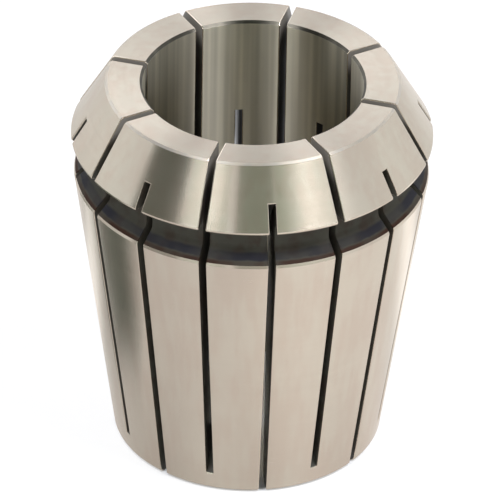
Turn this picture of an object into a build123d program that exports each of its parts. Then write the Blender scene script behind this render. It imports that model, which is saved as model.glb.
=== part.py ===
"""A slotted spring collet: one piece of spring steel, turned, sawn, hardened and ground.

The collet stands on its small end. Its axis is Z, the origin is the centre of the small end,
and +Z points to the nose, which the clamping nut presses on. Lengths are in millimetres and
angles in degrees. Heights run up from the small end, and depths run down from the nose face.
"""

from build123d import *
import math
import os

# Long taper, which seats in the socket of the tool holder
overall_length = 46.0
socket_diameter = 40.0  # the socket's mouth, where the taper is gauged
gauge_depth = 12.8  # nose face to the gauged diameter
taper_half_angle = 8.0

# Head, with the cone that the nut presses on
head_overhang = 0.5  # the head stands out past the socket's mouth by this much on each side
head_length = 7.1  # nose face to the groove's shoulder
head_land = 0.4  # short cylinder between the shoulder and the nose cone
nose_half_angle = 30.0

# Groove, where the nut's ring snaps in to pull the collet out
groove_depth = 2.0
groove_floor_width = 2.8
groove_flank_angle = 45.0
groove_root_radius = 0.3

# Bore, which grips the tool's shank
bore_diameter = 25.0

# Slots, sawn from the two ends in turn, with the ones from the nose between those from the small end
slots_from_each_end = 8
slot_width = 0.8
saw_diameter = 50.0
saw_overcut = 2.5  # the saw's rim passes the bore's wall by this much
nose_web = 3.9  # left standing outside, between the slots from the small end and the nose face
tail_web = 2.3  # left standing outside, between the slots from the nose and the small end

# Broken edges
edge_break = 0.2
bore_break = 0.3
small_end_break = 0.4
largest_break_share = 0.25  # of the ring face that the edge stands on

# Room past each end of the blank for the saw to start in
saw_start_room = 1.0

gauge_radius = socket_diameter / 2
gauge_height = overall_length - gauge_depth
head_radius = gauge_radius + head_overhang
groove_radius = head_radius - groove_depth
bore_radius = bore_diameter / 2
shoulder_height = overall_length - head_length
cone_foot_height = shoulder_height + head_land
flank_foot_height = shoulder_height - groove_floor_width

taper_slope = math.tan(math.radians(taper_half_angle))
nose_slope = math.tan(math.radians(nose_half_angle))
flank_slope = math.tan(math.radians(groove_flank_angle))


def taper_radius(height):
    """Radius of the long taper at a height."""
    return gauge_radius + (height - gauge_height) * taper_slope


def cone_radius(height):
    """Radius of the nose cone at a height."""
    return head_radius - (height - cone_foot_height) * nose_slope


def taper_top():
    """Where the groove's flank runs out through the taper, as radius and height."""
    depth_at_flank_foot = taper_radius(flank_foot_height) - groove_radius
    height = flank_foot_height - depth_at_flank_foot / (flank_slope + taper_slope)
    return taper_radius(height), height


def corner_at(profile, point):
    """The corner of a profile that lies nearest to a point."""
    return profile.vertices().sort_by_distance(point)[0]


def turned_profile():
    """Half section of the turned blank, with radius along X and height along Y."""
    small_end_rim = (taper_radius(0), 0)
    taper_rim = taper_top()
    flank_foot = (groove_radius, flank_foot_height)
    shoulder_foot = (groove_radius, shoulder_height)
    shoulder_rim = (head_radius, shoulder_height)
    cone_foot = (head_radius, cone_foot_height)
    nose_rim = (cone_radius(overall_length), overall_length)
    bore_nose_rim = (bore_radius, overall_length)
    bore_tail_rim = (bore_radius, 0)

    corners = [
        small_end_rim,
        taper_rim,
        flank_foot,
        shoulder_foot,
        shoulder_rim,
        cone_foot,
        nose_rim,
        bore_nose_rim,
        bore_tail_rim,
    ]
    profile = make_face(Polyline(*corners, close=True))

    small_end_limit = (small_end_rim[0] - bore_radius) * largest_break_share
    nose_limit = (nose_rim[0] - bore_radius) * largest_break_share
    breaks = [
        (small_end_rim, min(small_end_break, small_end_limit)),
        (bore_tail_rim, min(bore_break, small_end_limit)),
        (nose_rim, min(edge_break, nose_limit)),
        (bore_nose_rim, min(bore_break, nose_limit)),
        (taper_rim, edge_break),
        (shoulder_rim, min(edge_break, head_land / 2)),
    ]
    for rim, size in breaks:
        profile = chamfer(corner_at(profile, rim), size)
    for root in (flank_foot, shoulder_foot):
        profile = fillet(corner_at(profile, root), groove_root_radius)
    return profile


def saw_cut(far_end, stop_radius, stop_height):
    """One slot as a plate along +X: the saw comes in from beyond far_end, parallel to the axis.

    The saw's rim stops when it passes through stop_radius and stop_height, so the slot's floor
    is an arc that runs deeper at the outside than at the bore.
    """
    saw_radius = saw_diameter / 2
    saw_centre = bore_radius - saw_overcut + saw_radius
    rim_rise = math.sqrt(saw_radius**2 - (saw_centre - stop_radius) ** 2)
    feed = math.copysign(1, stop_height - far_end)
    centre_height = stop_height - feed * rim_rise

    start_height = far_end - feed * saw_start_room
    travel = abs(centre_height - start_height)
    middle = (centre_height + start_height) / 2
    path = Pos(saw_centre, middle) * Rectangle(saw_diameter, travel)
    path += Pos(saw_centre, centre_height) * Circle(saw_radius)
    return extrude(Plane.XZ * path, slot_width / 2, both=True)


def collet():
    """The finished collet."""
    blank = revolve(Plane.XZ * turned_profile(), Axis.Z)

    nose_stop = overall_length - nose_web
    slot_from_small_end = saw_cut(0, cone_radius(nose_stop), nose_stop)
    slot_from_nose = saw_cut(overall_length, taper_radius(tail_web), tail_web)

    pitch = 360 / slots_from_each_end
    slots = []
    for number in range(slots_from_each_end):
        slots.append(Rot(Z=number * pitch) * slot_from_small_end)
        slots.append(Rot(Z=(number + 0.5) * pitch) * slot_from_nose)
    return blank - slots


os.makedirs("parts", exist_ok=True)
export_step(collet(), "parts/collet.step")
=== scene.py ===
import math
from collections import namedtuple

import bmesh
import bpy
from bpy.props import FloatProperty, FloatVectorProperty, IntProperty, PointerProperty
from mathutils import Matrix, Vector


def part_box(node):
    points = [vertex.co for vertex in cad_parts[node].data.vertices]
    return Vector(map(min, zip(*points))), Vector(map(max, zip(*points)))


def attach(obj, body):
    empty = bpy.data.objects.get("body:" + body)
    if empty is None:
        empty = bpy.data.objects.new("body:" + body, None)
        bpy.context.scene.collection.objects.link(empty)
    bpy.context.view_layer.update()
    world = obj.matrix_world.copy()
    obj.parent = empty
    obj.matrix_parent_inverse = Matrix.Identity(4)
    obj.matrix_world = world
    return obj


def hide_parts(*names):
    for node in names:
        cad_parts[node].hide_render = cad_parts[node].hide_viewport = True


bl_info = {
    "name": "Spring Collet",
    "version": (1, 0, 0),
    "blender": (4, 5, 0),
    "location": "3D View > Sidebar > Collet",
    "description": "Models a slotted spring collet and the small studio that it stands in",
    "category": "Object",
}

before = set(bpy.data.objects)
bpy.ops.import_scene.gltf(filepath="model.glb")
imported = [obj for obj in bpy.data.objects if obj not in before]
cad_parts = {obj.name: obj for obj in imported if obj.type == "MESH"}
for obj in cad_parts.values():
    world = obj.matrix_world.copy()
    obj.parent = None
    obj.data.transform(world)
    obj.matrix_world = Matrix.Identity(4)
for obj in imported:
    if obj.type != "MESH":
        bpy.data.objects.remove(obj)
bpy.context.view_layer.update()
NODE = "collet"
LOW_CORNER, HIGH_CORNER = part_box(NODE)
OVERALL_LENGTH = HIGH_CORNER.z - LOW_CORNER.z

FULL_TURN = 2 * math.pi
AXIS_POINT = (0, 0, 0)
UP = Vector((0, 0, 1))
MIDDLE = UP * OVERALL_LENGTH / 2
WHITE = (1, 1, 1)


# ---------------------------------------------------------------------------------------------
# What a user would change
# ---------------------------------------------------------------------------------------------


def length(name, description, default):
    """A property that holds a length in metres."""
    return FloatProperty(
        name=name,
        description=description,
        default=default,
        min=0,
        precision=5,
        subtype="DISTANCE",
        unit="LENGTH",
    )


def angle(name, description, degrees):
    """A property that holds an angle, given in degrees."""
    default = math.radians(degrees)
    return FloatProperty(name=name, description=description, default=default, subtype="ANGLE")


def share(name, description, default):
    """A property that holds a plain number between 0 and 1."""
    return FloatProperty(
        name=name, description=description, default=default, min=0, max=1, subtype="FACTOR"
    )


def brightness(name, description, default):
    """A property that holds how bright a light is, where 1 is white."""
    return FloatProperty(name=name, description=description, default=default, min=0)


def colour(name, description, default):
    """A property that holds a colour without alpha."""
    return FloatVectorProperty(
        name=name, description=description, default=default, size=3, min=0, max=1, subtype="COLOR"
    )


class ColletSizes(bpy.types.PropertyGroup):
    """Sizes of the collet. Heights run up from the small end, and depths down from the nose face."""

    socket_diameter: length("Socket diameter", "Mouth of the socket, where the taper is gauged", 0.040)
    gauge_depth: length("Gauge depth", "Nose face to the gauged diameter", 0.0128)
    taper_half_angle: angle("Taper half angle", "Slope of the long taper to the axis", 8)
    head_overhang: length("Head overhang", "How far the head stands past the socket's mouth", 0.0005)
    head_length: length("Head length", "Nose face to the groove's shoulder", 0.0071)
    head_land: length("Head land", "Short cylinder between the shoulder and the nose cone", 0.0004)
    nose_half_angle: angle("Nose half angle", "Slope of the nose cone to the axis", 30)
    groove_depth: length("Groove depth", "Head radius less the radius of the groove's floor", 0.002)
    groove_floor_width: length("Groove floor width", "Shoulder to the foot of the flank", 0.0028)
    groove_flank_angle: angle("Groove flank angle", "Slope of the groove's flank to the axis", 45)
    groove_root_radius: length("Groove root radius", "Rounding in the groove's two corners", 0.0003)
    bore_diameter: length("Bore diameter", "Bore that grips the shank", 0.025)
    slots_from_each_end: IntProperty(
        name="Slots from each end", description="Saw slots cut from one end", default=8, min=2
    )
    slot_width: length("Slot width", "Thickness of the saw", 0.0008)
    saw_diameter: length("Saw diameter", "Diameter of the saw that leaves the run-outs", 0.050)
    saw_overcut: length("Saw overcut", "How far the saw's rim passes the bore's wall", 0.0025)
    nose_web: length("Nose web", "Metal between the nose face and the slots from the small end", 0.0039)
    tail_web: length("Tail web", "Metal left between the small end and the slots from the nose", 0.0023)
    edge_break: length("Edge break", "Chamfer on the rims of the head and the taper", 0.0002)
    bore_break: length("Bore break", "Chamfer at both ends of the bore", 0.0003)
    small_end_break: length("Small end break", "Chamfer round the small end", 0.0004)
    slot_break: length("Slot break", "Fine rounding along the slots' edges", 0.00012)


class ColletFinish(bpy.types.PropertyGroup):
    """Colours and gloss of the ground, stoned and honed steel, and of the oxide."""

    steel: colour("Ground steel", "Bright ground steel", (0.64, 0.57, 0.465))
    steel_warm: colour("Warm ground steel", "Warm mottling of the ground steel", (0.62, 0.53, 0.43))
    steel_roughness: share("Steel roughness", "Roughness of the ground faces", 0.25)
    steel_grain: share("Steel grain", "How much the grinding lines stretch a highlight", 0.97)
    bore: colour("Honed bore", "Duller steel of the bore", (0.58, 0.535, 0.425))
    # The bore's painted sheen: colour of a pale band beside the slots that stands in for reflected light
    bore_painted_sheen: colour("Sheen_painted bore", "Bore wall scuffed bright beside the slots", (0.96, 0.74, 0.57))
    bore_roughness: share("Bore roughness", "Roughness of the bore", 0.38)
    sheen_painted_width: angle("Sheen_painted width", "How far round the bore it is scuffed beside a slot", 6)
    sheen_painted_side: angle("Sheen_painted side", "Side of the bore that is scuffed widest", 98)
    rim: colour("Stoned rim", "Nose's outer rim, dulled with a stone", (0.58, 0.53, 0.45))
    rim_roughness: share("Rim roughness", "Roughness of the nose's stoned outer rim", 0.55)
    grinding_pitch: length("Grinding pitch", "Spacing of the finest grinding lines", 0.00012)
    oxide: colour("Dark oxide", "Oxide left in the groove and the slots", (0.046, 0.043, 0.032))
    # Painted sheen: a bluer band along the groove's flank that faces up, for the light that falls on it
    blue_painted_sheen: colour("Blue oxide", "Bluer band along the groove's flank", (0.015, 0.0145, 0.018))
    oxide_brown: colour("Brown oxide", "Browner oxide next to the ground faces", (0.030, 0.014, 0.008))
    # Slot mouth: painted light from above that greys the slots' oxide near the nose face
    slot_painted_light: colour("Slot mouth", "Slots rubbed back to grey near the nose face", (0.17, 0.155, 0.13))
    slot_painted_light_depth: length("Slot mouth depth", "How far below the nose face the grey reaches", 0.0035)
    groove_roughness: share("Groove roughness", "Roughness of the oxide in the groove", 0.5)
    groove_shine: share("Groove shine", "How strongly the oxide in the groove reflects", 0.08)
    slot_roughness: share("Slot roughness", "Roughness of the oxide in the slots", 0.38)
    slot_shine: share("Slot shine", "How strongly the oxide in the slots reflects", 0.35)


class StageLook(bpy.types.PropertyGroup):
    """Camera, floor and light."""

    camera_azimuth: angle("Camera azimuth", "Turn of the camera round the collet", -7.2)
    camera_elevation: angle("Camera elevation", "Height of the camera above the horizon", 34.5)
    camera_roll: angle("Camera roll", "Turn of the picture, clockwise", 1.05)
    camera_distance: length("Camera distance", "Camera to the middle of the collet", 1.0)
    picture_width: length("Picture width", "What the picture spans at the collet's axis", 0.0571)
    floor: colour("Floor", "Colour of the floor", (0.92, 0.92, 0.91))
    floor_glow: share("Floor glow", "Share of the floor's white that no shadow dims", 0.8)
    horizon: brightness("Horizon", "Light from round the horizon", 1.03)
    ceiling: brightness("Ceiling", "Light from straight above", 0.12)


# ---------------------------------------------------------------------------------------------
# Modelling by hand, in steps
# ---------------------------------------------------------------------------------------------

SEED_SIZE = 0.001


def finish_editing():
    """Back to object mode, with nothing selected."""
    if bpy.context.mode != "OBJECT":
        bpy.ops.object.mode_set(mode="OBJECT")
    bpy.ops.object.select_all(action="DESELECT")


def start_editing(piece, select_mode):
    """Edit mode on one piece alone, with all of it selected."""
    finish_editing()
    piece.select_set(True)
    bpy.context.view_layer.objects.active = piece
    bpy.ops.object.mode_set(mode="EDIT")
    bpy.ops.mesh.select_mode(type=select_mode)
    bpy.ops.mesh.select_all(action="SELECT")


def named_primitive(name):
    """The primitive that was just added, with its name and with its place moved into its mesh."""
    piece = bpy.context.object
    piece.name = name
    piece.data.name = name
    bpy.ops.object.transform_apply(location=True, rotation=True, scale=True)
    return piece


def select_only(piece, kind, test):
    """In edit mode, selects the "verts", "edges" or "faces" that pass a test, and nothing else."""
    bpy.ops.mesh.select_all(action="DESELECT")
    mesh = bmesh.from_edit_mesh(piece.data)
    for element in getattr(mesh, kind):
        if test(element):
            element.select_set(True)
    bmesh.update_edit_mesh(piece.data)


def drawn_outline(name, corners):
    """A closed outline, drawn corner by corner from a small plane that is merged to a point."""
    finish_editing()
    bpy.ops.mesh.primitive_plane_add(size=SEED_SIZE, location=corners[0])
    piece = named_primitive(name)
    start_editing(piece, "VERT")
    bpy.ops.mesh.merge(type="CENTER")
    for start, end in zip(corners, corners[1:]):
        step = Vector(end) - Vector(start)
        bpy.ops.mesh.extrude_region_move(TRANSFORM_OT_translate={"value": step})
    bpy.ops.mesh.select_all(action="SELECT")
    bpy.ops.mesh.edge_face_add()
    return piece


def worked_corner(piece, corner, size, segments):
    """Chamfers, or with more segments rounds, one corner of a flat outline."""
    reach = size / 10
    select_only(piece, "verts", lambda vert: (vert.co - Vector(corner)).length < reach)
    bpy.ops.mesh.bevel(offset=size, segments=segments, affect="VERTICES", clamp_overlap=False)


def cut_away(piece, cutter):
    """Takes a cutter out of a piece. The cut faces keep the cutter's material."""
    finish_editing()
    piece.select_set(True)
    bpy.context.view_layer.objects.active = piece
    bpy.ops.object.modifier_add(type="BOOLEAN")
    cut = piece.modifiers[-1]
    cut.operation = "DIFFERENCE"
    cut.solver = "EXACT"
    cut.material_mode = "TRANSFER"
    cut.object = cutter
    bpy.ops.object.modifier_apply(modifier=cut.name)
    bpy.data.objects.remove(cutter)


# ---------------------------------------------------------------------------------------------
# Shader maths
# ---------------------------------------------------------------------------------------------

NOISE_MIDDLE = 0.5

# A noise's size in metres across the axis and along it, and how many finer layers it has
Pattern = namedtuple("Pattern", "across along detail")


class Value:
    """One output of a node. Python's operators on it add the Math nodes that work them out."""

    def __init__(self, tree, socket):
        self.tree = tree
        self.socket = socket

    def maths(self, operation, *values):
        """What a Math node makes of these values."""
        return self.tree.node("ShaderNodeMath", {"operation": operation}, dict(enumerate(values)))

    def __add__(self, other):
        return self.maths("ADD", self, other)

    def __radd__(self, other):
        return self.maths("ADD", other, self)

    def __sub__(self, other):
        return self.maths("SUBTRACT", self, other)

    def __rsub__(self, other):
        return self.maths("SUBTRACT", other, self)

    def __mul__(self, other):
        return self.maths("MULTIPLY", self, other)

    def __rmul__(self, other):
        return self.maths("MULTIPLY", other, self)

    def __truediv__(self, other):
        return self.maths("DIVIDE", self, other)

    def __pow__(self, other):
        return self.maths("POWER", self, other)

    def ramp(self, start, end, from_value=0, to_value=1):
        """Runs smoothly from one value to another while this one goes from start to end."""
        sockets = {
            "Value": self,
            "From Min": start,
            "From Max": end,
            "To Min": from_value,
            "To Max": to_value,
        }
        return self.tree.node("ShaderNodeMapRange", {"interpolation_type": "SMOOTHSTEP"}, sockets)

    def swing(self):
        """How far a noise lies above or below its middle."""
        return self - NOISE_MIDDLE


class ShaderTree:
    """The nodes of one material or world, which start from its output alone."""

    def __init__(self, owner):
        owner.use_nodes = True
        self.nodes = owner.node_tree.nodes
        self.links = owner.node_tree.links
        self.nodes.clear()
        is_world = isinstance(owner, bpy.types.World)
        self.output = self.nodes.new("ShaderNodeOutputWorld" if is_world else "ShaderNodeOutputMaterial")

    def node(self, kind, settings=None, sockets=None, output=0):
        """Adds a node, sets it up, fills or links its inputs and gives back one of its outputs.

        A colour is given as three numbers, and its alpha is 1.
        """
        node = self.nodes.new(kind)
        for name, value in (settings or {}).items():
            setattr(node, name, value)
        for name, value in (sockets or {}).items():
            socket = node.inputs[name]
            if isinstance(value, Value):
                self.links.new(value.socket, socket)
            elif socket.type == "RGBA":
                socket.default_value = (*value, 1)
            else:
                socket.default_value = value
        return Value(self, node.outputs[output])

    def finish(self, shader):
        """Puts a shader on the surface."""
        self.links.new(shader.socket, self.output.inputs["Surface"])

    def object_point(self):
        """The three coordinates of the shaded point, in metres, on the piece's own axes."""
        sockets = {"Vector": self.node("ShaderNodeTexCoord", output="Object")}
        return [self.node("ShaderNodeSeparateXYZ", sockets=sockets, output=axis) for axis in "XYZ"]

    def noise(self, point, pattern):
        """Smooth noise from 0 to 1."""
        x, y, z = point
        spread = {"X": x / pattern.across, "Y": y / pattern.across, "Z": z / pattern.along}
        vector = self.node("ShaderNodeCombineXYZ", sockets=spread)
        sockets = {"Vector": vector, "Scale": 1, "Detail": pattern.detail}
        return self.node("ShaderNodeTexNoise", sockets=sockets)

    def blend(self, factor, first, second):
        """Mixes two colours."""
        sockets = {"Factor": factor, "A": first, "B": second}
        return self.node("ShaderNodeMix", {"data_type": "RGBA"}, sockets, output="Result")


# ---------------------------------------------------------------------------------------------
# Finishes of the collet
# ---------------------------------------------------------------------------------------------

# A ramp is given by where it starts and ends, and then, where that isn't 0 and 1, from what to what.

STREAKS = Pattern(across=0.0011, along=0.014, detail=3)
CLOUDS = Pattern(across=0.005, along=0.009, detail=2)
STRIPES = Pattern(across=0.0016, along=0.08, detail=2)
PATCHES = Pattern(across=0.0016, along=0.0022, detail=4)
SCALE = Pattern(across=0.00025, along=0.00025, detail=3)

# Grinding lines: how far they run round, how fine and coarse ones add up, and how deep they are
FINE_LINE = 0.011
FINE_DETAIL = 3
COARSE_LINE = 0.025
COARSE_DETAIL = 2
COARSE_PITCHES = 5
FINE_PART = 0.6
COARSE_PART = 0.4
LINE_BUMP = 0.08
LINE_DEPTH = 0.00001

# What the lines and the clouds add to the steel's shade and roughness, and the turn that lays its
# stretched highlights across lines that run round the axis
LINE_SHADE = 0.12
LINE_ROUGHNESS = 0.07
CLOUD_ROUGHNESS = 0.06
GRAIN_TURN = 0.25

# Ground faces and stoned rim: ramps of noise between their two colours, and their darkest shade
MOTTLED = (0.38, 0.62)
STREAKED = (0.4, 0.6)
GROUND_SHADE = 0.94
STONED_SHADE = 0.84
STONED_METAL = 0.75

# Bore: the shade of its stripes, and the painted shade that darkens its chamfers, which starts and is
# full at these depths, in sizes of the chamfer
STRIPED = (0.35, 0.65, 0.76, 1.16)
BEFORE_CHAMFER = 1.1
WITHIN_CHAMFER = 0.9
CHAMFER_PAINTED_SHADE = 0.8

# Painted sheen in the bore, a pale band beside the slots from the nose that stands in for reflected
# light: wider on one side, by the cosine of the angle from it, with an edge that wanders and fades,
# in angles round the bore
WIDEST_SIDE = (0.96, 0.99)
WIDEST_GAIN = 1.6
PAINTED_SHEEN_WANDER = 0.10
PAINTED_SHEEN_FADE = (-0.012, 0.012)
PAINTED_SHEEN_COVER = 0.8
PAINTED_SHEEN_STRIPES = 1.2
PAINTED_SHEEN_ROUGHNESS = 0.24
PAINTED_SHEEN_METAL_LOST = 0.75

# Oxide: its browner patches and its fine relief
PATCHY = (0.42, 0.68)
PATCH_COVER = 0.45
OXIDE_ROUGHNESS = 0.16
OXIDE_BUMP = 0.25
OXIDE_DEPTH = 0.00002

# Bands in the groove, by height above the taper's rim: a brown one, and a bluer one that is painted
# sheen; and how the clouds thin them out
BAND_WANDER = 0.0003
BROWN_BAND_END = (0.00055, 0.00035)
BROWN_CLOUDED = (0.6, 0.42, 0.35, 1.0)
BLUE_BAND_START = (0.00045, 0.00065)
BLUE_BAND_END = (0.0011, 0.0014)
BLUE_CLOUDED = (0.35, 0.6, 0.45, 1.0)

# Where the painted light that greys a slot's mouth is full, as a share of its depth
FULLY_PAINTED_LIT = 0.4


class RoundFinish:
    """What the steel faces share: fine lines round the piece, with faint streaks and clouds along it."""

    def __init__(self, name, finish):
        self.material = bpy.data.materials.new(name)
        self.grain = finish.steel_grain
        self.tree = ShaderTree(self.material)
        self.point = self.tree.object_point()
        x, y, z = self.point
        down_the_slope = z - (x * x + y * y) ** 0.5
        pitch = finish.grinding_pitch
        fine = Pattern(FINE_LINE, pitch, FINE_DETAIL)
        coarse = Pattern(COARSE_LINE, COARSE_PITCHES * pitch, COARSE_DETAIL)
        fine_lines = self.tree.noise((x, y, down_the_slope), fine)
        coarse_lines = self.tree.noise((x, y, down_the_slope), coarse)
        self.lines = FINE_PART * fine_lines + COARSE_PART * coarse_lines
        self.streaks = self.tree.noise(self.point, STREAKS)
        self.clouds = self.tree.noise(self.point, CLOUDS)

    def steel(self, tint, shade, gloss, metallic=1.0):
        """Puts a metal with this colour, shading and roughness on the material."""
        base = self.tree.node("ShaderNodeVectorMath", {"operation": "SCALE"}, {0: tint, "Scale": shade})
        relief = {"Strength": LINE_BUMP, "Distance": LINE_DEPTH, "Height": self.lines}
        lined = LINE_ROUGHNESS * self.lines.swing()
        clouded = CLOUD_ROUGHNESS * self.clouds.swing()
        sockets = {
            "Base Color": base,
            "Metallic": metallic,
            "Roughness": gloss + lined + clouded,
            "Anisotropic": self.grain,
            "Anisotropic Rotation": GRAIN_TURN,
            "Normal": self.tree.node("ShaderNodeBump", sockets=relief),
        }
        self.tree.finish(self.tree.node("ShaderNodeBsdfPrincipled", sockets=sockets))
        return self.material


def ground_steel(name, finish):
    """Bright steel, ground round the axis."""
    look = RoundFinish(name, finish)
    mottling = (0.5 * look.streaks + 0.5 * look.clouds).ramp(*MOTTLED)
    tint = look.tree.blend(mottling, finish.steel, finish.steel_warm)
    return look.steel(tint, GROUND_SHADE + LINE_SHADE * look.lines, finish.steel_roughness)


def stoned_rim(name, finish):
    """The nose's outer rim, broken with a stone and left duller."""
    look = RoundFinish(name, finish)
    tint = look.tree.blend(look.streaks.ramp(*STREAKED), finish.rim, finish.steel)
    shade = STONED_SHADE + LINE_SHADE * look.lines
    return look.steel(tint, shade, finish.rim_roughness, STONED_METAL)


def honed_bore(name, finish, form):
    """Dull steel of the bore, with a pale painted sheen beside the slots from the nose, and painted
    shade on its chamfers.
    """
    look = RoundFinish(name, finish)
    x, y, z = look.point
    side = finish.sheen_painted_side
    towards_side = (x * math.cos(side) + y * math.sin(side)) / form.bore_radius
    widened = finish.sheen_painted_width * (1 + WIDEST_GAIN * towards_side.ramp(*WIDEST_SIDE))
    reach = widened + PAINTED_SHEEN_WANDER * look.clouds.swing()
    half_pitch = form.slot_pitch / 2
    from_slot = (y.maths("ARCTAN2", x) - half_pitch).maths("PINGPONG", half_pitch)
    stripes = look.tree.noise(look.point, STRIPES)

    before = BEFORE_CHAMFER * form.sizes.bore_break
    within = WITHIN_CHAMFER * form.sizes.bore_break
    into_nose_rim = z.ramp(OVERALL_LENGTH - before, OVERALL_LENGTH - within)
    into_tail_rim = z.ramp(before, within)
    into_rim = into_nose_rim + into_tail_rim

    cover = PAINTED_SHEEN_COVER + PAINTED_SHEEN_STRIPES * stripes.swing()
    # Painted sheen beside each slot from the nose: paler, rougher and less metallic, for reflected light
    sheen_painted = (reach - from_slot).ramp(*PAINTED_SHEEN_FADE) * cover * (1 - into_rim)
    tint = look.tree.blend(sheen_painted, finish.bore, finish.bore_painted_sheen)
    # The chamfers at both ends of the bore are darkened with painted shade
    shade = stripes.ramp(*STRIPED) * (1 - CHAMFER_PAINTED_SHADE * into_rim)
    gloss = finish.bore_roughness + PAINTED_SHEEN_ROUGHNESS * sheen_painted
    return look.steel(tint, shade, gloss, 1 - PAINTED_SHEEN_METAL_LOST * sheen_painted)


class OxideFinish:
    """What the dark faces share: thin scale left by hardening, with patches that are browner."""

    def __init__(self, name, finish):
        self.material = bpy.data.materials.new(name)
        self.tree = ShaderTree(self.material)
        self.point = self.tree.object_point()
        self.patches = self.tree.noise(self.point, PATCHES)
        brown = PATCH_COVER * self.patches.ramp(*PATCHY)
        self.tint = self.tree.blend(brown, finish.oxide, finish.oxide_brown)

    def oxide(self, tint, gloss, shine):
        """Puts scale with this colour, roughness and shine on the material."""
        scale = self.tree.noise(self.point, SCALE)
        relief = {"Strength": OXIDE_BUMP, "Distance": OXIDE_DEPTH, "Height": scale}
        sockets = {
            "Base Color": tint,
            "Roughness": gloss + OXIDE_ROUGHNESS * scale.swing(),
            "Specular IOR Level": shine,
            "Normal": self.tree.node("ShaderNodeBump", sockets=relief),
        }
        self.tree.finish(self.tree.node("ShaderNodeBsdfPrincipled", sockets=sockets))
        return self.material


def groove_oxide(name, finish, form):
    """Oxide in the groove: brown next to the taper's rim, then a bluer band of painted sheen, and black
    from there on.
    """
    look = OxideFinish(name, finish)
    height = look.point[2]
    up_the_flank = height - form.taper_top() + BAND_WANDER * look.patches.swing()
    clouds = look.tree.noise(look.point, CLOUDS)
    # The bluer band is painted sheen on the flank that faces up
    blue_sheen_band = up_the_flank.ramp(*BLUE_BAND_START) - up_the_flank.ramp(*BLUE_BAND_END)
    brown_band = up_the_flank.ramp(*BROWN_BAND_END)
    tint = look.tree.blend(blue_sheen_band * clouds.ramp(*BLUE_CLOUDED), look.tint, finish.blue_painted_sheen)
    tint = look.tree.blend(brown_band * clouds.ramp(*BROWN_CLOUDED), tint, finish.oxide_brown)
    return look.oxide(tint, finish.groove_roughness, finish.groove_shine)


def slot_oxide(name, finish):
    """Oxide in the slots, turned grey near the nose face by painted light from above."""
    look = OxideFinish(name, finish)
    height = look.point[2]
    depth = finish.slot_painted_light_depth
    # Painted light: the slots' oxide turns grey towards the nose face
    painted_lit = height.ramp(OVERALL_LENGTH - depth, OVERALL_LENGTH - FULLY_PAINTED_LIT * depth)
    tint = look.tree.blend(painted_lit, look.tint, finish.slot_painted_light)
    return look.oxide(tint, finish.slot_roughness, finish.slot_shine)


# ---------------------------------------------------------------------------------------------
# The collet
# ---------------------------------------------------------------------------------------------

STEPS_ROUND = 144
ROOT_SEGMENTS = 3
SLOT_BREAK_SEGMENTS = 2
SAW_STEPS = 192
SAW_START_ROOM = 0.001
SAME_POINT = 1e-6
SMOOTH_UNDER = math.radians(35)

# How much of a face's normal, which is 1 long, points a given way
SQUARELY = 0.999
NEARLY = 0.99
MOSTLY = 0.6
SLIGHTLY = 0.1

# How much of it may point round the axis where the face is turned
TURNED_FACE_SWIRL = 0.05


class Form:
    """The collet's outline, worked out from its sizes."""

    def __init__(self, sizes):
        self.sizes = sizes
        self.slot_pitch = FULL_TURN / sizes.slots_from_each_end
        self.gauge_height = OVERALL_LENGTH - sizes.gauge_depth
        self.gauge_radius = sizes.socket_diameter / 2
        self.head_radius = self.gauge_radius + sizes.head_overhang
        self.groove_radius = self.head_radius - sizes.groove_depth
        self.bore_radius = sizes.bore_diameter / 2
        self.shoulder_height = OVERALL_LENGTH - sizes.head_length
        self.cone_foot_height = self.shoulder_height + sizes.head_land
        self.flank_foot_height = self.shoulder_height - sizes.groove_floor_width

    def taper_radius(self, height):
        """Radius of the long taper at a height."""
        return self.gauge_radius + (height - self.gauge_height) * math.tan(self.sizes.taper_half_angle)

    def cone_radius(self, height):
        """Radius of the nose cone at a height."""
        rise = height - self.cone_foot_height
        return self.head_radius - rise * math.tan(self.sizes.nose_half_angle)

    def taper_top(self):
        """Height where the groove's flank runs out through the taper."""
        depth = self.taper_radius(self.flank_foot_height) - self.groove_radius
        slopes = math.tan(self.sizes.groove_flank_angle) + math.tan(self.sizes.taper_half_angle)
        return self.flank_foot_height - depth / slopes


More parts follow.
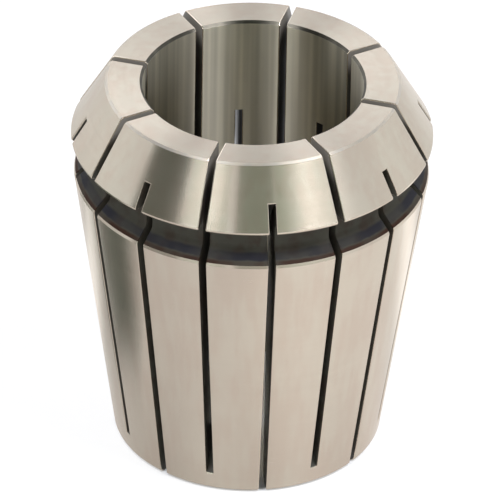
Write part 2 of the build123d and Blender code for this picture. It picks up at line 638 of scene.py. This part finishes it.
def turned_blank(form):
    """The blank off the lathe: the half section, with its edges broken, spun round the axis."""
    sizes = form.sizes
    taper_top = form.taper_top()
    small_end_rim = (form.taper_radius(0), 0, 0)
    taper_rim = (form.taper_radius(taper_top), 0, taper_top)
    flank_foot = (form.groove_radius, 0, form.flank_foot_height)
    shoulder_foot = (form.groove_radius, 0, form.shoulder_height)
    shoulder_rim = (form.head_radius, 0, form.shoulder_height)
    cone_foot = (form.head_radius, 0, form.cone_foot_height)
    nose_rim = (form.cone_radius(OVERALL_LENGTH), 0, OVERALL_LENGTH)
    bore_nose_rim = (form.bore_radius, 0, OVERALL_LENGTH)
    bore_tail_rim = (form.bore_radius, 0, 0)
    corners = [
        small_end_rim,
        taper_rim,
        flank_foot,
        shoulder_foot,
        shoulder_rim,
        cone_foot,
        nose_rim,
        bore_nose_rim,
        bore_tail_rim,
    ]
    chamfers = (
        (small_end_rim, sizes.small_end_break),
        (taper_rim, sizes.edge_break),
        (shoulder_rim, sizes.edge_break),
        (nose_rim, sizes.edge_break),
        (bore_nose_rim, sizes.bore_break),
        (bore_tail_rim, sizes.bore_break),
    )
    piece = drawn_outline("spring_collet", corners)
    for corner, size in chamfers:
        worked_corner(piece, corner, size, 1)
    for corner in (flank_foot, shoulder_foot):
        worked_corner(piece, corner, sizes.groove_root_radius, ROOT_SEGMENTS)

    bpy.ops.mesh.select_all(action="SELECT")
    bpy.ops.mesh.delete(type="ONLY_FACE")
    bpy.ops.mesh.select_all(action="SELECT")
    bpy.ops.mesh.spin(steps=STEPS_ROUND, angle=FULL_TURN, center=AXIS_POINT, axis=UP)
    bpy.ops.mesh.select_all(action="SELECT")
    bpy.ops.mesh.remove_doubles(threshold=SAME_POINT)
    bpy.ops.mesh.normals_make_consistent(inside=False)
    finish_editing()
    return piece


def saw_plates(name, form, far_end, stop_radius, stop_height, turn, material):
    """One saw path for each slot from one end: a half disc at its floor, drawn out past the end face."""
    sizes = form.sizes
    saw_radius = sizes.saw_diameter / 2
    saw_centre = form.bore_radius - sizes.saw_overcut + saw_radius
    rim_rise = math.sqrt(saw_radius**2 - (saw_centre - stop_radius) ** 2)
    feed = math.copysign(1, stop_height - far_end)
    centre_height = stop_height - feed * rim_rise
    start_height = far_end - feed * SAW_START_ROOM
    centre = (saw_centre, 0, centre_height)

    finish_editing()
    bpy.ops.mesh.primitive_cylinder_add(
        vertices=SAW_STEPS,
        radius=saw_radius,
        depth=sizes.slot_width,
        location=centre,
        rotation=(FULL_TURN / 4, 0, 0),
    )
    cutter = named_primitive(name)
    cutter.data.materials.append(material)
    start_editing(cutter, "FACE")
    bpy.ops.mesh.bisect(plane_co=centre, plane_no=UP * feed, use_fill=True, clear_inner=True)
    select_only(cutter, "faces", lambda face: face.normal.z * feed < -SQUARELY)
    run_out = (0, 0, start_height - centre_height)
    bpy.ops.mesh.extrude_region_move(TRANSFORM_OT_translate={"value": run_out})
    bpy.ops.mesh.select_all(action="SELECT")
    bpy.ops.transform.rotate(value=turn, orient_axis="Z", center_override=AXIS_POINT)
    bpy.ops.mesh.spin(
        steps=sizes.slots_from_each_end - 1,
        dupli=True,
        angle=FULL_TURN - form.slot_pitch,
        center=AXIS_POINT,
        axis=UP,
    )
    bpy.ops.mesh.select_all(action="SELECT")
    bpy.ops.mesh.normals_make_consistent(inside=False)
    finish_editing()
    return cutter


def saw_slots(piece, form, material):
    """Saws the slots from the small end, and then those from the nose, half a pitch on."""
    nose_stop = OVERALL_LENGTH - form.sizes.nose_web
    tail_stop = form.sizes.tail_web
    saws = (
        ("saw_from_small_end", 0, form.cone_radius(nose_stop), nose_stop, 0),
        ("saw_from_nose", OVERALL_LENGTH, form.taper_radius(tail_stop), tail_stop, form.slot_pitch / 2),
    )
    for name, far_end, stop_radius, stop_height, turn in saws:
        cut_away(piece, saw_plates(name, form, far_end, stop_radius, stop_height, turn, material))


def round_slot_edges(piece, size, slot_material, edge_material):
    """Finely rounds each edge where a slot's wall meets a face of another finish."""
    walls = piece.data.materials.find(slot_material.name)

    def is_slot_edge(edge):
        return len({face.material_index == walls for face in edge.link_faces}) > 1

    start_editing(piece, "EDGE")
    select_only(piece, "edges", is_slot_edge)
    bpy.ops.mesh.bevel(
        offset=size,
        segments=SLOT_BREAK_SEGMENTS,
        affect="EDGES",
        clamp_overlap=False,
        material=piece.data.materials.find(edge_material.name),
    )
    finish_editing()


def outward_at(point):
    """The direction straight out from the axis through a point."""
    return Vector((point.x, point.y, 0)).normalized()


def is_turned(normal, outward):
    """Whether a face looks straight out from, in to or along the axis, as turned faces do."""
    return abs(normal.cross(outward).z) < TURNED_FACE_SWIRL


def is_in_groove(form, face):
    """Whether a face lies in the groove, between the taper's rim and the head's rim."""
    point = face.calc_center_median()
    margin = form.sizes.edge_break
    below_shoulder = point.z < form.shoulder_height + margin / 10
    above_taper = point.z > form.taper_top() + margin / 2
    outside_floor = math.hypot(point.x, point.y) > form.groove_radius - margin
    return below_shoulder and above_taper and outside_floor


def is_in_bore(form, face):
    """Whether a face is part of the bore's wall or of the chamfers at its ends."""
    point = face.calc_center_median()
    outward = outward_at(point)
    near_wall = math.hypot(point.x, point.y) < form.bore_radius + form.sizes.bore_break
    facing_in = face.normal.dot(outward) < -MOSTLY
    return near_wall and facing_in and is_turned(face.normal, outward)


def is_nose_rim(form, face):
    """Whether a face is part of the broken edge between the nose face and the cone."""
    point = face.calc_center_median()
    outward = outward_at(point)
    near_face = point.z > OVERALL_LENGTH - form.sizes.edge_break
    sloping = MOSTLY < face.normal.z < NEARLY
    facing_out = face.normal.dot(outward) > SLIGHTLY
    return near_face and sloping and facing_out and is_turned(face.normal, outward)


def give_finish(piece, form, material, test):
    """In edit mode, puts one of the piece's materials on the faces that pass a test."""
    select_only(piece, "faces", lambda face: test(form, face))
    piece.active_material_index = piece.data.materials.find(material.name)
    bpy.ops.object.material_slot_assign()


def true_round(piece):
    """Shades the turned faces as true rounds, so that their slots leave no trace in their gloss."""
    mesh = piece.data
    normals = []
    for face in mesh.polygons:
        outward = outward_at(face.center)
        turned = is_turned(face.normal, outward)
        for index in face.vertices:
            here = outward_at(mesh.vertices[index].co)
            normal = here * face.normal.dot(outward) + UP * face.normal.z
            normals.append(normal.normalized() if turned else Vector())
    mesh.normals_split_custom_set(normals)


class COLLET_OT_build_body(bpy.types.Operator):
    """Turn the collet from its half section, saw its slots, break its edges and give it its finishes"""

    bl_idname = "collet.build_body"
    bl_label = "Build Collet"
    bl_options = {"REGISTER", "UNDO"}

    def execute(self, context):
        form = Form(context.scene.collet_sizes)
        finish = context.scene.collet_finish
        steel = ground_steel("ground_steel", finish)
        bore = honed_bore("honed_bore", finish, form)
        rim = stoned_rim("stoned_rim", finish)
        groove = groove_oxide("groove_oxide", finish, form)
        slots = slot_oxide("slot_oxide", finish)

        piece = turned_blank(form)
        for material in (steel, groove, bore, rim):
            piece.data.materials.append(material)
        saw_slots(piece, form, slots)
        round_slot_edges(piece, form.sizes.slot_break, slots, steel)

        start_editing(piece, "FACE")
        give_finish(piece, form, groove, is_in_groove)
        give_finish(piece, form, bore, is_in_bore)
        give_finish(piece, form, rim, is_nose_rim)
        finish_editing()

        piece.select_set(True)
        bpy.context.view_layer.objects.active = piece
        bpy.ops.object.shade_smooth_by_angle(angle=SMOOTH_UNDER)
        true_round(piece)
        finish_editing()

        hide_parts(NODE)
        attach(piece, "root")
        return {"FINISHED"}


# ---------------------------------------------------------------------------------------------
# The stage
# ---------------------------------------------------------------------------------------------

FLOOR_SIZE = 6
FLAG_LIFT = 0.0002
LAMP_DISTANCE = 0.9

# Watts from each square metre of a lamp whose brightness is 1
LAMP_WATTS = 4

# Tints of the flags, of the sky's light, of the floor in front as gloss sees it, and of the lamps
FLAG_TINT = (0.85, 1.0, 0.85)
HAZE = (0.96, 1.0, 1.04)
FLOOR_WARMTH = (1.0, 0.965, 0.965)
LAMP_COLOUR = (0.97, 0.985, 1.07)

# How bright each finish of the cards is
FLAG_FINISHES = {"black_flag": 0.115, "grey_flag": 0.30, "pale_flag": 0.45}

# Cards that stand on the floor, by their turn from the camera's side, in degrees
Flag = namedtuple("Flag", "name turn distance width height finish")
STANDING_FLAGS = (
    Flag("flag_left", turn=-58, distance=0.45, width=0.25, height=0.6, finish="black_flag"),
    Flag("flag_camera", turn=3, distance=0.75, width=0.32, height=1.6, finish="grey_flag"),
    Flag("flag_right", turn=35, distance=0.72, width=0.50, height=1.4, finish="pale_flag"),
    Flag("flag_left_of_camera", turn=-28, distance=0.73, width=0.36, height=1.4, finish="pale_flag"),
)

# Corners of the card that lies on the floor: rightwards and away, from the camera's side
LOW_FLAG_CORNERS = (
    (-0.030, -0.013),
    (-0.030, 0.001),
    (-0.090, 0.058),
    (-0.150, 0.100),
    (-0.150, -0.020),
)

# Lamps, by their turn from the camera's side, their height and the angles that they span, in degrees
SoftBox = namedtuple("SoftBox", "name turn rise width height brightness")
SOFT_BOXES = (
    SoftBox("key_lamp", turn=63, rise=61, width=24, height=18, brightness=16.2),
    SoftBox("fill_lamp", turn=-42, rise=61, width=19, height=18, brightness=12.8),
    SoftBox("soft_box_back", turn=180, rise=38, width=70, height=48, brightness=0.34),
    SoftBox("soft_box_back_left", turn=-140, rise=38, width=36, height=36, brightness=1.5),
    SoftBox("soft_box_back_right", turn=140, rise=38, width=36, height=36, brightness=0.55),
)

# Ramps of the floor's own white as gloss sees it, rightwards and away from the camera's side
GLOW_SIDEWAYS = (-0.020, 0.014, 0.65, 0.94)
GLOW_LOST_FAR_RIGHT = (0.035, 0.20, 0, 0.30)
GLOW_BEHIND = (0.009, 0.022, 0, 0.66)
GLOW_LOST_BEHIND = (0.025, 0.034, 0, 0.60)
GLOW_LOST_FAR_BEHIND = (0.08, 0.30, 0, 0.15)
GLOW_WARM = (0.020, -0.005)

# The floor next to the small end: painted shade in front of it, where it glows less, and no glow at all
# under it
FOOT_PAINTED_SHADE = 0.24
FOOT_REACH = (0.045, 0.0145)
FOOT_FRONT = (-0.002, -0.014)
FOOT_RIM = (0.0145, 0.0158)

# How high in the sky the horizon's light gives way to the ceiling's
CEILING_EDGE = (0.35, 0.75)


def direction(azimuth, elevation=0):
    """The way from the axis to a place, by its turn from the front and its height above the horizon."""
    level = math.cos(elevation)
    return Vector((math.sin(azimuth) * level, -math.cos(azimuth) * level, math.sin(elevation)))


def only_in_reflections(card, material):
    """Keeps a card out of the picture and out of the shadows, so that only gloss shows it."""
    card.data.materials.append(material)
    card.visible_camera = False
    card.visible_diffuse = False
    card.visible_shadow = False


def standing_flag(flag, side, material):
    """A dark card that stands on the floor and faces the axis."""
    azimuth = side + math.radians(flag.turn)
    place = direction(azimuth) * flag.distance + UP * (flag.height / 2)
    finish_editing()
    bpy.ops.mesh.primitive_plane_add(size=1, location=place, rotation=(FULL_TURN / 4, 0, azimuth))
    bpy.context.object.scale = (flag.width, flag.height, 1)
    only_in_reflections(named_primitive(flag.name), material)


def lying_flag(name, side, corners, material):
    """A dark card laid on the floor."""
    card = drawn_outline(name, [Vector((*corner, FLAG_LIFT)) for corner in corners])
    bpy.ops.mesh.select_all(action="SELECT")
    bpy.ops.transform.rotate(value=-side, orient_axis="Z", center_override=AXIS_POINT)
    finish_editing()
    only_in_reflections(card, material)


def soft_box(plan, side):
    """A large even lamp that faces the collet, sized by the angles that it spans from there."""
    outward = direction(side + math.radians(plan.turn), math.radians(plan.rise))
    finish_editing()
    bpy.ops.object.light_add(type="AREA", location=MIDDLE + outward * LAMP_DISTANCE)
    lamp = bpy.context.object
    lamp.name = plan.name
    lamp.rotation_euler = (-outward).to_track_quat("-Z", "Y").to_euler()
    lamp.data.color = LAMP_COLOUR
    lamp.data.shape = "RECTANGLE"
    lamp.data.size = 2 * LAMP_DISTANCE * math.tan(math.radians(plan.width) / 2)
    lamp.data.size_y = 2 * LAMP_DISTANCE * math.tan(math.radians(plan.height) / 2)
    lamp.data.energy = plan.brightness * LAMP_WATTS * lamp.data.size * lamp.data.size_y


def add_camera(look):
    """The camera, looking at the middle of the collet."""
    back = direction(look.camera_azimuth, look.camera_elevation)
    roll = Matrix.Rotation(look.camera_roll, 3, "Z")
    turn = (-back).to_track_quat("-Z", "Y").to_matrix() @ roll
    bpy.ops.object.camera_add(location=MIDDLE + back * look.camera_distance, rotation=turn.to_euler())
    camera = bpy.context.object
    camera.data.lens = camera.data.sensor_width * look.camera_distance / look.picture_width
    return camera


def flag_finish(name, strength):
    """Even dark card, which adds no light of its own beyond a faint grey."""
    material = bpy.data.materials.new(name)
    tree = ShaderTree(material)
    tree.finish(tree.node("ShaderNodeEmission", sockets={"Color": FLAG_TINT, "Strength": strength}))
    return material


def floor_finish(look):
    """White floor: most of its white is its own, and the rest is lit and takes the shadow."""
    material = bpy.data.materials.new("floor")
    tree = ShaderTree(material)
    x, y, _ = tree.object_point()
    side = look.camera_azimuth
    rightwards = x * math.cos(side) + y * math.sin(side)
    away = y * math.cos(side) - x * math.sin(side)
    from_axis = (x * x + y * y) ** 0.5
    in_picture = tree.node("ShaderNodeLightPath", output="Is Camera Ray")
    in_gloss = tree.node("ShaderNodeLightPath", output="Is Glossy Ray")

    sideways = rightwards.ramp(*GLOW_SIDEWAYS) - rightwards.ramp(*GLOW_LOST_FAR_RIGHT)
    behind = away.ramp(*GLOW_BEHIND) - away.ramp(*GLOW_LOST_BEHIND) - away.ramp(*GLOW_LOST_FAR_BEHIND)
    # Painted shade in front of the small end: the floor's glow in reflections is dimmed there
    painted_foot_shade = 1 - FOOT_PAINTED_SHADE * from_axis.ramp(*FOOT_REACH) * away.ramp(*FOOT_FRONT)
    glow = {
        "Color": tree.blend(in_gloss * away.ramp(*GLOW_WARM), WHITE, FLOOR_WARMTH),
        "Strength": in_picture + in_gloss * (sideways + behind) * painted_foot_shade,
    }
    clear = from_axis.ramp(*FOOT_RIM) * (in_picture + in_gloss)
    sockets = {
        0: look.floor_glow * clear,
        1: tree.node("ShaderNodeBsdfDiffuse", sockets={"Color": look.floor}),
        2: tree.node("ShaderNodeEmission", sockets=glow),
    }
    tree.finish(tree.node("ShaderNodeMixShader", sockets=sockets))
    return material


def studio_world(look):
    """White all round the horizon, dimmer overhead, and plain white where the camera looks at it."""
    world = bpy.data.worlds.new("studio")
    tree = ShaderTree(world)
    skyward = tree.node("ShaderNodeTexCoord", output="Generated")
    height = tree.node("ShaderNodeSeparateXYZ", sockets={"Vector": skyward}, output="Z")
    light = height.ramp(*CEILING_EDGE, look.horizon, look.ceiling)
    seen = tree.node("ShaderNodeLightPath", output="Is Camera Ray")
    strength = seen + (1 - seen) * light
    tint = tree.blend(seen, HAZE, WHITE)
    tree.finish(tree.node("ShaderNodeBackground", sockets={"Color": tint, "Strength": strength}))
    return world


class COLLET_OT_build_stage(bpy.types.Operator):
    """Lay the floor, light it and set up the camera"""

    bl_idname = "collet.build_stage"
    bl_label = "Build Stage"
    bl_options = {"REGISTER", "UNDO"}

    def execute(self, context):
        look = context.scene.collet_stage
        side = look.camera_azimuth
        finish_editing()
        bpy.ops.mesh.primitive_plane_add(size=FLOOR_SIZE, location=AXIS_POINT)
        floor = named_primitive("floor")
        floor.data.materials.append(floor_finish(look))
        context.scene.world = studio_world(look)

        cards = {name: flag_finish(name, strength) for name, strength in FLAG_FINISHES.items()}
        for flag in STANDING_FLAGS:
            standing_flag(flag, side, cards[flag.finish])
        lying_flag("flag_low", side, LOW_FLAG_CORNERS, cards["black_flag"])
        for plan in SOFT_BOXES:
            soft_box(plan, side)

        context.scene.camera = add_camera(look)
        context.scene.view_settings.view_transform = "Standard"
        return {"FINISHED"}


class COLLET_PT_panel(bpy.types.Panel):
    """Sizes, colours and the two steps that build the scene"""

    bl_idname = "COLLET_PT_panel"
    bl_label = "Spring Collet"
    bl_space_type = "VIEW_3D"
    bl_region_type = "UI"
    bl_category = "Collet"

    def draw(self, context):
        groups = (
            (context.scene.collet_sizes, COLLET_OT_build_body),
            (context.scene.collet_finish, None),
            (context.scene.collet_stage, COLLET_OT_build_stage),
        )
        for group, operator in groups:
            box = self.layout.box()
            for name in group.__annotations__:
                box.prop(group, name)
            if operator:
                box.operator(operator.bl_idname)


CLASSES = (
    ColletSizes,
    ColletFinish,
    StageLook,
    COLLET_OT_build_body,
    COLLET_OT_build_stage,
    COLLET_PT_panel,
)


def register():
    for cls in CLASSES:
        bpy.utils.register_class(cls)
    bpy.types.Scene.collet_sizes = PointerProperty(type=ColletSizes)
    bpy.types.Scene.collet_finish = PointerProperty(type=ColletFinish)
    bpy.types.Scene.collet_stage = PointerProperty(type=StageLook)


def unregister():
    del bpy.types.Scene.collet_stage
    del bpy.types.Scene.collet_finish
    del bpy.types.Scene.collet_sizes
    for cls in reversed(CLASSES):
        bpy.utils.unregister_class(cls)


def main():
    """Builds the collet and its stage."""
    register()
    bpy.ops.collet.build_body()
    bpy.ops.collet.build_stage()


if __name__ == "__main__":
    main()
